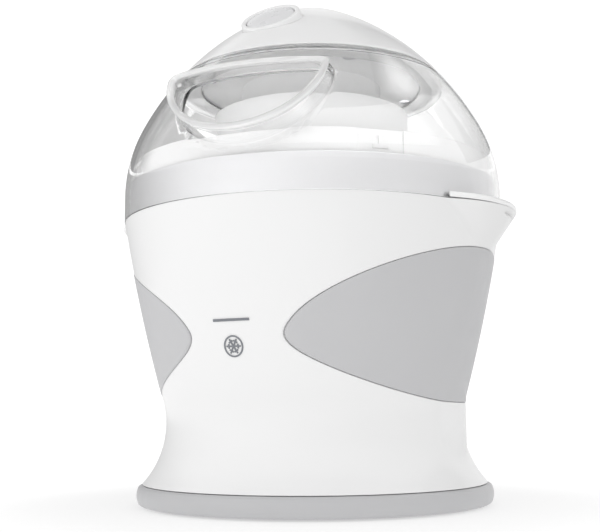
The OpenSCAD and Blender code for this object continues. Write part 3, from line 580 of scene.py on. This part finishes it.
def turned(v, a):
    """A vector turned about the Z axis."""
    c, s = math.cos(a), math.sin(a)
    v = np.asarray(v, float)
    return np.stack([v[..., 0] * c - v[..., 1] * s, v[..., 0] * s + v[..., 1] * c, v[..., 2]], -1)


CHUTE_C = turned([0, -CHUTE_Y, CHUTE_Z - CHUTE_SINK], CHUTE_TURN)
CHUTE_AXIS = turned([0, -math.cos(CHUTE_TILT), math.sin(CHUTE_TILT)], CHUTE_TURN)
CHUTE_X = turned([1, 0, 0], CHUTE_TURN)
CHUTE_UP = turned([0, math.sin(CHUTE_TILT), math.cos(CHUTE_TILT)], CHUTE_TURN)

def corner_angle(a, r, roof):
    """Where round the tube its skin meets the flat roof, a inwards from the mouth."""
    up = (roof - CHUTE_C[2] + a * math.sin(CHUTE_TILT)) / math.cos(CHUTE_TILT)
    return np.arcsin(np.clip(up / r, -1, 1))


def tube_part(a, r, roof):
    """A chute section's round part, from the right corner under to the left, a inwards from the mouth."""
    q = np.linspace(0, 1, N_TUBE + 1)
    a = np.broadcast_to(a, q.shape)
    right = corner_angle(a, r, roof)
    t = right + q * ((-math.pi - right) - right)
    up = np.where(np.sin(t) > 0, 1.0, CHUTE_SQUASH) * np.sin(t)
    return CHUTE_C - a[:, None] * CHUTE_AXIS + r * (np.cos(t)[:, None] * CHUTE_X + up[:, None] * CHUTE_UP)


def visor(left, right):
    """The roof's front edge between the chute's corners, bowed forwards."""
    g = np.linspace(0, 1, N_ROOF + 1)[1:-1, None]
    return left + g * (right - left) + VISOR * (1 - (2 * g - 1) ** 2) * turned([0, -1, 0], CHUTE_TURN)


def mouth_row(a, out):
    """A whole section of the lip, a inwards from the mouth and out from the tube's skin."""
    p = tube_part(a, CHUTE_R + out, CHUTE_Z + min(out, 0) + 0.35 * max(out, 0))
    return np.vstack([p, visor(p[-1], p[0])])


def chute_rows(out, t, near, rows):
    """Rows of the chute's skin from the dome to the mouth, each a closed section."""
    r, roof = CHUTE_R + out, CHUTE_Z + out
    end = bisect(lambda a: dome_gap(tube_part(a, r, roof), t),
                 np.zeros(N_TUBE + 1), np.full(N_TUBE + 1, CHUTE_LONG))
    root = tube_part(end, r, roof)
    left, right = (math.atan2(root[i][1], root[i][0]) for i in (-1, 0))
    f = np.linspace(left, right, N_ROOF + 1)[1:-1]
    back = polar(f, float(dome_radius(roof, t)), roof)
    front = mouth_row(near, out)[N_TUBE + 1:]
    return [np.vstack([tube_part(end * (1 - k) + near * k, r, roof), back * (1 - k) + front * k])
            for k in np.linspace(0, 1, rows + 1)]


def soften(row, t=None):
    """Rounds the two corners of a closed section of the chute, more at the left one.

    With t given, the row is put back on the surface t inside the dome.
    """
    n = len(row)
    i = np.arange(n)
    w = np.zeros(n)
    for at, s in zip((0, N_TUBE), CORNER_WIDE):
        d = np.minimum(np.abs(i - at), n - np.abs(i - at))
        w = np.maximum(w, np.exp(-(d / s) ** 2))
    for _ in range(CORNER_PASSES):
        row = row + w[:, None] * ((np.roll(row, 1, 0) + np.roll(row, -1, 0)) / 2 - row) * CORNER_STEP
    if t is not None:
        rr = dome_radius(row[:, 2], t)
        h = np.hypot(row[:, 0], row[:, 1])
        row = np.c_[row[:, 0] / h * rr, row[:, 1] / h * rr, row[:, 2]]
    return row


def add_dome_wall(b, t, rows):
    """Adds the dome's surface t inside its skin, with a hole where the chute's rows start, and those rows."""
    turn = np.linspace(math.pi / 2, 2.5 * math.pi, SEG + 1)
    path = dome_path(t, DOME_LOW, DOME_HIGH, 200)
    s = np.r_[0, np.cumsum(np.hypot(*np.diff(path, axis=0).T))]
    hole = rows[0]
    phi = (np.arctan2(hole[:, 1], hole[:, 0]) - math.pi / 2) % (2 * math.pi) + math.pi / 2
    flat_hole = np.c_[phi * DOME_FLAT, np.interp(hole[:, 2], path[:, 1], s)]
    levels = np.linspace(0, s[-1], 18)[1:-1]
    border = [(p * DOME_FLAT, 0) for p in turn] + [(turn[-1] * DOME_FLAT, v) for v in levels]
    border += [(p * DOME_FLAT, s[-1]) for p in turn[::-1]] + [(turn[0] * DOME_FLAT, v) for v in levels[::-1]]
    pts, tris, where = triangulate(border, [flat_hole], DOME_MESH)
    z = np.interp(pts[:, 1], s, path[:, 1])
    verts = polar(pts[:, 0] / DOME_FLAT, dome_radius(z, t), z)
    for i, k in enumerate(where[1]):
        verts[k] = hole[i]
    b.add(verts, tris)
    b.strip(rows)


def build_dome():
    """The clear lid as one thin wall: dome, ledge, skirt and the chute with its beaded lip."""
    b = Builder()
    outer_rows, inner_rows = [
        [soften(r, t if j == 0 else None) for j, r in enumerate(chute_rows(-t, t, near, rows))]
        for t, near, rows in ((0.0, 4.0, 8), (DOME_T, 1.4, 10))]
    add_dome_wall(b, 0.0, outer_rows)
    add_dome_wall(b, DOME_T, inner_rows)
    first = len(b.faces)
    b.strip([outer_rows[-1]] + [soften(mouth_row(depth, out)) for depth, out in BEAD] + [inner_rows[-1]])
    bead_faces = range(first, len(b.faces))
    # the rim above, with the ledge that carries the power unit
    rim_z, ledge_top = CAP_Z - 0.35, LEDGE_Z + LEDGE_T
    ledge_in = float(dome_radius(LEDGE_Z, DOME_T))
    up = list(dome_path(0.0, DOME_HIGH, rim_z - 0.5, 8))
    up += [(float(dome_radius(rim_z, t)), rim_z) for t in (0.3, DOME_T - 0.3)]
    up += list(dome_path(DOME_T, rim_z - 0.5, ledge_top + 0.6, 3))
    up += [(float(dome_radius(ledge_top, DOME_T)) - 0.6, ledge_top), (LEDGE_R + 0.5, ledge_top),
           (LEDGE_R, ledge_top - 0.4), (LEDGE_R, LEDGE_Z + 0.4), (LEDGE_R + 0.5, LEDGE_Z),
           (ledge_in - 0.8, LEDGE_Z), (float(dome_radius(LEDGE_Z - 0.8, DOME_T)), LEDGE_Z - 0.8)]
    up += list(dome_path(DOME_T, LEDGE_Z - 1.6, DOME_HIGH, 4))
    # the skirt below, with rows close to its corners that keep the shading of its faces level
    down = list(dome_path(DOME_T, DOME_LOW, SKIRT_Z + 1.2, 13))
    down += list(dome_path(DOME_T, SKIRT_Z + 0.45, SKIRT_Z + 0.3, 1))
    down += [(DOME_R - DOME_T + 0.2, SKIRT_Z), (DOME_R - 0.12, SKIRT_Z)]
    down += list(dome_path(0.0, SKIRT_Z + 0.12, SKIRT_Z + 0.24, 1))
    down += list(dome_path(0.0, SKIRT_Z + 1.2, DOME_LOW, 13))
    ring = np.linspace(math.pi / 2, 2.5 * math.pi, SEG + 1)[:-1]
    for part in (up, down):
        b.strip([polar(ring, r, z) for r, z in part])
    piece = add_piece("clear_lid", b.verts, b.faces, MATS["clear_plastic"], "lid", ["lid_dome"])
    piece.data.materials.append(MATS["clear_lip"])
    for i in bead_faces:
        piece.data.polygons[i].material_index = 1
    for face in piece.data.polygons:
        x, y, z = face.center / MM
        if LEDGE_Z - 0.9 < z < ledge_top + 0.1 and math.hypot(x, y) < ledge_in + 0.2:
            face.material_index = 1
    weld(piece)


def build_tabs():
    """The two finger tabs at the lid's skirt, proud of the body's side lips towards their blunt ends."""
    n = 48
    a = np.linspace(-LIP_HALF, LIP_HALF, n + 1)
    end = np.abs(a / LIP_HALF)
    foot, top = SKIRT_Z + TAB_GAP * end, PART_Z + TAB_H
    lip = LIP_C * np.cos(a) + np.sqrt(np.maximum(LIP_RAD ** 2 - (LIP_C * np.sin(a)) ** 2, 0))
    reach = lip + TAB_PROUD * end ** 1.5
    inner = [polar(a, DOME_R + 0.02 + 0.4 * end ** 6, z) for z in (top, foot)]
    rows = [inner[1]]
    rows += [polar(a, np.maximum(reach + off, DOME_R + 0.5 * end), (top if upper else foot) + dz)
             for off, dz, upper in TAB_SECTION]
    rows += inner
    for side, name in ((1, "lid_tab_right"), (-1, "lid_tab_left")):
        b = Builder()
        b.strip(rows, close=False)
        b.faces += [tuple(k * (n + 1) + i for k in range(len(rows) - 1)) for i in (0, n)]
        verts = np.array(b.verts)
        verts[:, 0] *= side
        piece = add_piece(name, verts, b.faces, MATS["bowl_white"], "lid", ())
        weld(piece)
        even_normals(piece)


def build_band():
    """The silver ring round the lid's skirt."""
    r1, r0 = BAND_HI.x, BAND_HI.x - BAND_T
    z0, z1 = SKIRT_Z, BAND_HI.z
    verts, faces = lathe(rounded([(r0, z0, 0.3), (r1, z0, 0.2), (r1, z1, 0.5), (r0, z1, 0.3)]))
    piece = add_piece("silver_ring", verts, faces, MATS["silver_trim"], "lid", ["silver_band"])
    weld(piece)
    even_normals(piece)


# ---------------------------------------------------------------- cap and switch

SWITCH_EL = math.acos((SWITCH_Y - C2[0]) / DOME_CURVE)
SWITCH_C = np.array([0, -SWITCH_Y, C2[1] + DOME_CURVE * math.sin(SWITCH_EL)])
LEAN = SWITCH_EL - SWITCH_TILT
SWITCH_N = np.array([0, -math.cos(LEAN), math.sin(LEAN)])
SWITCH_V = np.array([0, math.sin(LEAN), math.cos(LEAN)])


def switch_oval(inset, h):
    """The switch's oval, inset from the bezel's outside, h above the cap along the switch's own axis."""
    t = np.linspace(0, 2 * math.pi, N_OVAL, endpoint=False)
    wide = (SWITCH_A - inset) * np.cos(t)[:, None] * np.array([1.0, 0, 0])
    tall = (SWITCH_B - inset) * np.sin(t)[:, None] * SWITCH_V
    return SWITCH_C + (wide + tall) + np.broadcast_to(h, N_OVAL)[:, None] * SWITCH_N


def on_cap(inset, t):
    """The same oval dropped along the switch's axis onto the cap's surface, t inside it."""
    h = bisect(lambda v: dome_gap(switch_oval(inset, v), t), np.full(N_OVAL, 20.0), np.full(N_OVAL, -20.0))
    return switch_oval(inset, h)


def cap_flat(t):
    """The cap's section from apex to rim, as radius, height and length so far, for laying it out flat."""
    apex = C3[1] + CROWN - t
    z = np.r_[np.linspace(apex, apex - 12, 400), np.linspace(apex - 12, CAP_Z - 2, 400)[1:]]
    r = dome_radius(z, t)
    r[0] = 0
    s = np.r_[0, np.cumsum(np.hypot(np.diff(r), np.diff(z)))]
    return r, z, s


def build_cap():
    """The white cap: a thin dome with an oval hole for the switch and a rolled rim."""
    b = Builder()
    ring = np.linspace(0, 2 * math.pi, SEG, endpoint=False)
    rims, holes = [], []
    z_rim = CAP_Z + CAP_ROLL
    for t in (0.0, CAP_T):
        r, z, s = cap_flat(t)
        s_rim = np.interp(-z_rim, -z, s)
        hole = on_cap(CAP_HOLE, t)
        hs = np.interp(-hole[:, 2], -z, s)
        ha = np.arctan2(hole[:, 1], hole[:, 0])
        pts, tris, where = triangulate(np.c_[s_rim * np.cos(ring), s_rim * np.sin(ring)],
                                       [np.c_[hs * np.cos(ha), hs * np.sin(ha)]], CAP_MESH)
        ps, pa = np.hypot(pts[:, 0], pts[:, 1]), np.arctan2(pts[:, 1], pts[:, 0])
        verts = polar(pa, np.interp(ps, s, r), np.interp(ps, s, z))
        for i, k in enumerate(where[1]):
            verts[k] = hole[i]
        b.add(verts, tris)
        holes.append(hole)
        rims.append(np.interp(s_rim, s, r))
    b.strip(holes)
    roll = ((0.35, 0.08), (0.0, 0.5), (0.0, CAP_T - 0.5), (0.35, CAP_T - 0.08))
    edge = [(float(dome_radius(CAP_Z + rise, t)), CAP_Z + rise) for rise, t in roll]
    b.strip([polar(ring, r, z) for r, z in [(rims[0], z_rim)] + edge + [(rims[1], z_rim)]])
    piece = add_piece("white_cap", b.verts, b.faces, MATS["white_shell"], "power_unit", ["cap"])
    weld(piece)


def button_face(inwards):
    """Height of the button's crowned face along the oval that lies inwards from the button's edge."""
    t = np.linspace(0, 2 * math.pi, N_OVAL, endpoint=False)
    a, b = SWITCH_A - BUTTON_INSET - inwards, SWITCH_B - BUTTON_INSET - inwards
    reach = np.hypot(a * np.cos(t), b * np.sin(t))
    return SWITCH_H + BUTTON_CROWN - (BUTTON_CURVE - np.sqrt(BUTTON_CURVE ** 2 - reach ** 2))


def build_switch():
    """The oval bezel that rises from the cap, and the button inside it."""
    rows = [on_cap(0.0, 0.3), on_cap(-0.35, 0.0), on_cap(-0.1, -0.35)]
    rows += [switch_oval(inset, SWITCH_H - drop) for inset, drop in BEZEL]
    rows += [switch_oval(2.6, BEZEL_FOOT), switch_oval(1.2, BEZEL_FOOT), on_cap(1.2, 0.2)]
    b = Builder()
    b.strip(rows + [rows[0]])
    piece = add_piece("switch_ring", b.verts, b.faces, MATS["white_shell"], "power_unit", ["switch_bezel"])
    weld(piece)
    rows = [switch_oval(BUTTON_INSET, BUTTON_FOOT), switch_oval(BUTTON_INSET, button_face(0) - 0.8),
            switch_oval(BUTTON_INSET + 0.12, button_face(0) - 0.35),
            switch_oval(BUTTON_INSET + 0.4, button_face(0.4) - 0.08)]
    rows += [switch_oval(BUTTON_INSET + e, button_face(e)) for e in (0.8, 1.6, 3.0, 5.0, 7.0, 9.0)]
    b = Builder()
    b.strip(rows)
    last = len(b.verts) - N_OVAL
    b.verts.append(tuple(SWITCH_C + (SWITCH_H + BUTTON_CROWN) * SWITCH_N))
    b.faces += [(last + i, last + (i + 1) % N_OVAL, len(b.verts) - 1) for i in range(N_OVAL)]
    b.faces.append(tuple(range(N_OVAL - 1, -1, -1)))
    piece = add_piece("oval_button", b.verts, b.faces, MATS["button_grey"], "button", ["switch_button"])
    weld(piece)


# ---------------------------------------------------------------- CAD nodes that stay


def dress(node, width):
    """Gives a CAD node its finish, soft edges and smooth round faces."""
    slot = next(s["material_slot"] for s in frame["record"]["subparts"] if s["node"] == node)
    piece = frame["nodes"][node]
    piece.data.materials.clear()
    piece.data.materials.append(MATS[slot])
    joined = piece.modifiers.new("weld", "WELD")
    joined.merge_threshold = 2e-6
    bevel = piece.modifiers.new("edges", "BEVEL")
    bevel.width = width * MM
    bevel.segments = 2
    bevel.limit_method = "ANGLE"
    bevel.angle_limit = math.radians(35)
    bevel.use_clamp_overlap = True
    bevel.harden_normals = False
    smooth_faces(piece.data)
    piece.data.set_sharp_from_angle(angle=math.radians(32))


build_body()
build_grip(1, "grip_panel_right", "right_grip")
build_grip(-1, "grip_panel_left", "left_grip")
build_base_ring()
build_dome()
build_tabs()
build_band()
build_cap()
build_switch()
for node_name, obj in frame["nodes"].items():
    if not obj.hide_render:
        dress(node_name, FINE_EDGE if node_name in FINE_NODES else EDGE)

# ---------------------------------------------------------------- stage, light and camera


def build_stage():
    """A wide pale floor that melts into a white surround."""
    verts, faces = [(0.0, 0.0, 0.0)], []
    radii = np.linspace(0.05, 3.2, 50)
    n = 96
    turn = [2 * math.pi * i / n for i in range(n)]
    for r in radii:
        verts += [(r * math.cos(t) / MM, r * math.sin(t) / MM, 0.0) for t in turn]
    faces += [(0, 1 + i, 1 + (i + 1) % n) for i in range(n)]
    for j in range(len(radii) - 1):
        a, c = 1 + j * n, 1 + (j + 1) * n
        faces += [(a + i, c + i, c + (i + 1) % n, a + (i + 1) % n) for i in range(n)]
    mat, nodes, links, bsdf = shader("floor_white")
    coords = nodes.new("ShaderNodeTexCoord")
    length = nodes.new("ShaderNodeVectorMath")
    length.operation = "LENGTH"
    links.new(coords.outputs["Object"], length.inputs[0])
    fade = nodes.new("ShaderNodeMapRange")
    fade.inputs["From Min"].default_value = 0.09
    fade.inputs["From Max"].default_value = 0.26
    fade.inputs["To Min"].default_value = 0.5
    fade.interpolation_type = "SMOOTHERSTEP"
    links.new(length.outputs["Value"], fade.inputs["Value"])
    bsdf.inputs["Base Color"].default_value = (0.93, 0.93, 0.93, 1)
    bsdf.inputs["Roughness"].default_value = 0.6
    bsdf.inputs["Specular IOR Level"].default_value = 0.2
    glow = nodes.new("ShaderNodeEmission")
    glow.inputs["Color"].default_value = (1, 1, 1, 1)
    glow.inputs["Strength"].default_value = 1.1
    mix = nodes.new("ShaderNodeMixShader")
    links.new(fade.outputs["Result"], mix.inputs["Fac"])
    links.new(bsdf.outputs["BSDF"], mix.inputs[1])
    links.new(glow.outputs["Emission"], mix.inputs[2])
    links.new(mix.outputs["Shader"], nodes["Material Output"].inputs["Surface"])
    floor = add_piece("floor", verts, faces, mat, None)


CAMERA_AZ = 25.4
TENT_R, WORLD_GLOW, CARD_FADE = 1500, 1.15, 12.0
WALL_TOP, FLAG_FOOT, FLAG_TOP = 560, 580, 1500
LAMP_TARGET = (65, -46, 214)
# brightness of the tent's wall by azimuth from the camera, positive towards the camera's right
TENT = ((-180, 0.48), (-152, 0.48), (-133, 0.48), (-108, 0.66), (-89, 0.93), (-73, 1.17), (-51, 1.30),
        (-31, 1.22), (-6, 0.92), (25, 0.76), (58, 0.76), (98, 0.78), (120, 0.95), (153, 1.00), (180, 0.85))


def around(azimuth, radius, z):
    """Points about the Z axis by azimuth from the camera."""
    a = np.radians(np.asarray(azimuth, float) + CAMERA_AZ)
    return np.c_[radius * np.sin(a), -radius * np.cos(a), np.broadcast_to(z, a.shape)]


def build_card(name, rows, glow, hidden=()):
    """A card that gives light or shade, unseen by the camera; glow is its brightness at each point."""
    b = Builder()
    b.strip(rows, close=False)
    mat, nodes, links, _ = shader(name)
    bright = nodes.new("ShaderNodeAttribute")
    bright.attribute_name = "glow"
    lamp = nodes.new("ShaderNodeEmission")
    links.new(bright.outputs["Fac"], lamp.inputs["Strength"])
    links.new(lamp.outputs["Emission"], nodes["Material Output"].inputs["Surface"])
    card = add_piece(name, b.verts, b.faces, mat, None)
    values = np.broadcast_to(glow, (len(rows), len(rows[0]))).ravel()
    card.data.attributes.new("glow", "FLOAT", "POINT").data.foreach_set("value", values)
    card.visible_camera = False
    for kind in hidden:
        setattr(card, "visible_" + kind, False)


def upright(name, az0, az1, z0, z1, glow, radius=TENT_R, hidden=()):
    """A standing card that fades into the surround at both ends."""
    az = np.linspace(az0, az1, 49)
    inner = np.clip(np.minimum(az - az0, az1 - az) / CARD_FADE, 0, 1)
    glow = WORLD_GLOW + (glow - WORLD_GLOW) * inner
    build_card(name, [around(az, radius, z) for z in (z0, z1)], glow, hidden)


def lying(name, az0, az1, r0, r1, z, glow, hidden=()):
    """A level card between two radii."""
    az = np.linspace(az0, az1, 25)
    build_card(name, [around(az, r, z) for r in (r0, r1)], glow, hidden)


def softbox(name, target, az, el, distance, half, glow, hidden=()):
    """A lamp with a soft outline that faces a target; az from the camera and el say where it stands."""
    out = around([az], math.cos(math.radians(el)), math.sin(math.radians(el)))[0]
    side = around([az + 90], 1.0, 0.0)[0]
    up = np.cross(out, side)
    centre = np.array(target) + distance * out
    step = np.linspace(-1, 1, 13)
    rows = [np.array([centre + u * half[1] * up + v * half[0] * side for v in step]) for u in step]
    fade = np.cos(step * math.pi / 2) ** 1.5
    build_card(name, rows, glow * np.outer(fade, fade), hidden)


def build_light():
    """A tent of pale walls with darker flags, two fills for the clear lid and two soft lamps."""
    world = bpy.data.worlds.new("studio")
    SCENE.world = world
    world.use_nodes = True
    back = world.node_tree.nodes["Background"]
    back.inputs["Color"].default_value = (1, 1, 1, 1)
    back.inputs["Strength"].default_value = WORLD_GLOW
    az = np.linspace(-180, 180, 121)
    stops = np.array(TENT)
    glow = np.interp(az, stops[:, 0], stops[:, 1])
    build_card("tent_wall", [around(az, TENT_R, z) for z in (0, WALL_TOP)], glow)
    upright("flag_back_left", -178, -112, FLAG_FOOT, FLAG_TOP, 0.35)
    upright("flag_side_right", 110, 150, FLAG_FOOT, FLAG_TOP, 0.85)
    upright("flag_back_right", 150, 178, FLAG_FOOT, FLAG_TOP, 0.9)
    lying("flag_low_right", 20, 150, 300, 1400, 2, 0.7)
    lying("flag_top", 0, 360, 1, 1100, FLAG_TOP, 0.62)
    upright("lid_fill", -85, 85, 480, 1100, 2.6, 700, ("diffuse", "glossy"))
    lying("lid_fill_low", -180, 180, 220, 620, 3, 3.0, ("diffuse", "glossy"))
    softbox("lid_highlight", LAMP_TARGET, 109, 56, 1000, (330, 210), 4.5, ("diffuse", "transmission"))
    softbox("lid_sheen", LAMP_TARGET, 132, 38, 1050, (520, 420), 1.0, ("diffuse", "transmission"))


def build_camera():
    """The camera, from where it stands and its yaw, pitch and roll."""
    position = Vector((0.2378, -0.5008, 0.0515))
    yaw, pitch, roll = math.radians(-26.11), math.radians(7.574), math.radians(-0.453)
    forward = Vector((math.sin(yaw) * math.cos(pitch), math.cos(yaw) * math.cos(pitch), math.sin(pitch)))
    right = Vector((math.cos(yaw), -math.sin(yaw), 0))
    up = right.cross(forward)
    side = right * math.cos(roll) + up * math.sin(roll)
    top = -right * math.sin(roll) + up * math.cos(roll)
    data = bpy.data.cameras.new("camera")
    data.lens, data.sensor_width = 62.22, 36.0
    data.clip_start, data.clip_end = 0.01, 20.0
    camera = bpy.data.objects.new("camera", data)
    camera.matrix_world = Matrix((
        (side.x, top.x, -forward.x, position.x),
        (side.y, top.y, -forward.y, position.y),
        (side.z, top.z, -forward.z, position.z),
        (0, 0, 0, 1)))
    SCENE.collection.objects.link(camera)
    SCENE.camera = camera


build_stage()
build_light()
build_camera()
SCENE.view_settings.view_transform = "Standard"
SCENE.view_settings.look = "None"
SCENE.view_settings.exposure = 0.02
SCENE.cycles.max_bounces = 20
SCENE.cycles.transmission_bounces = 20
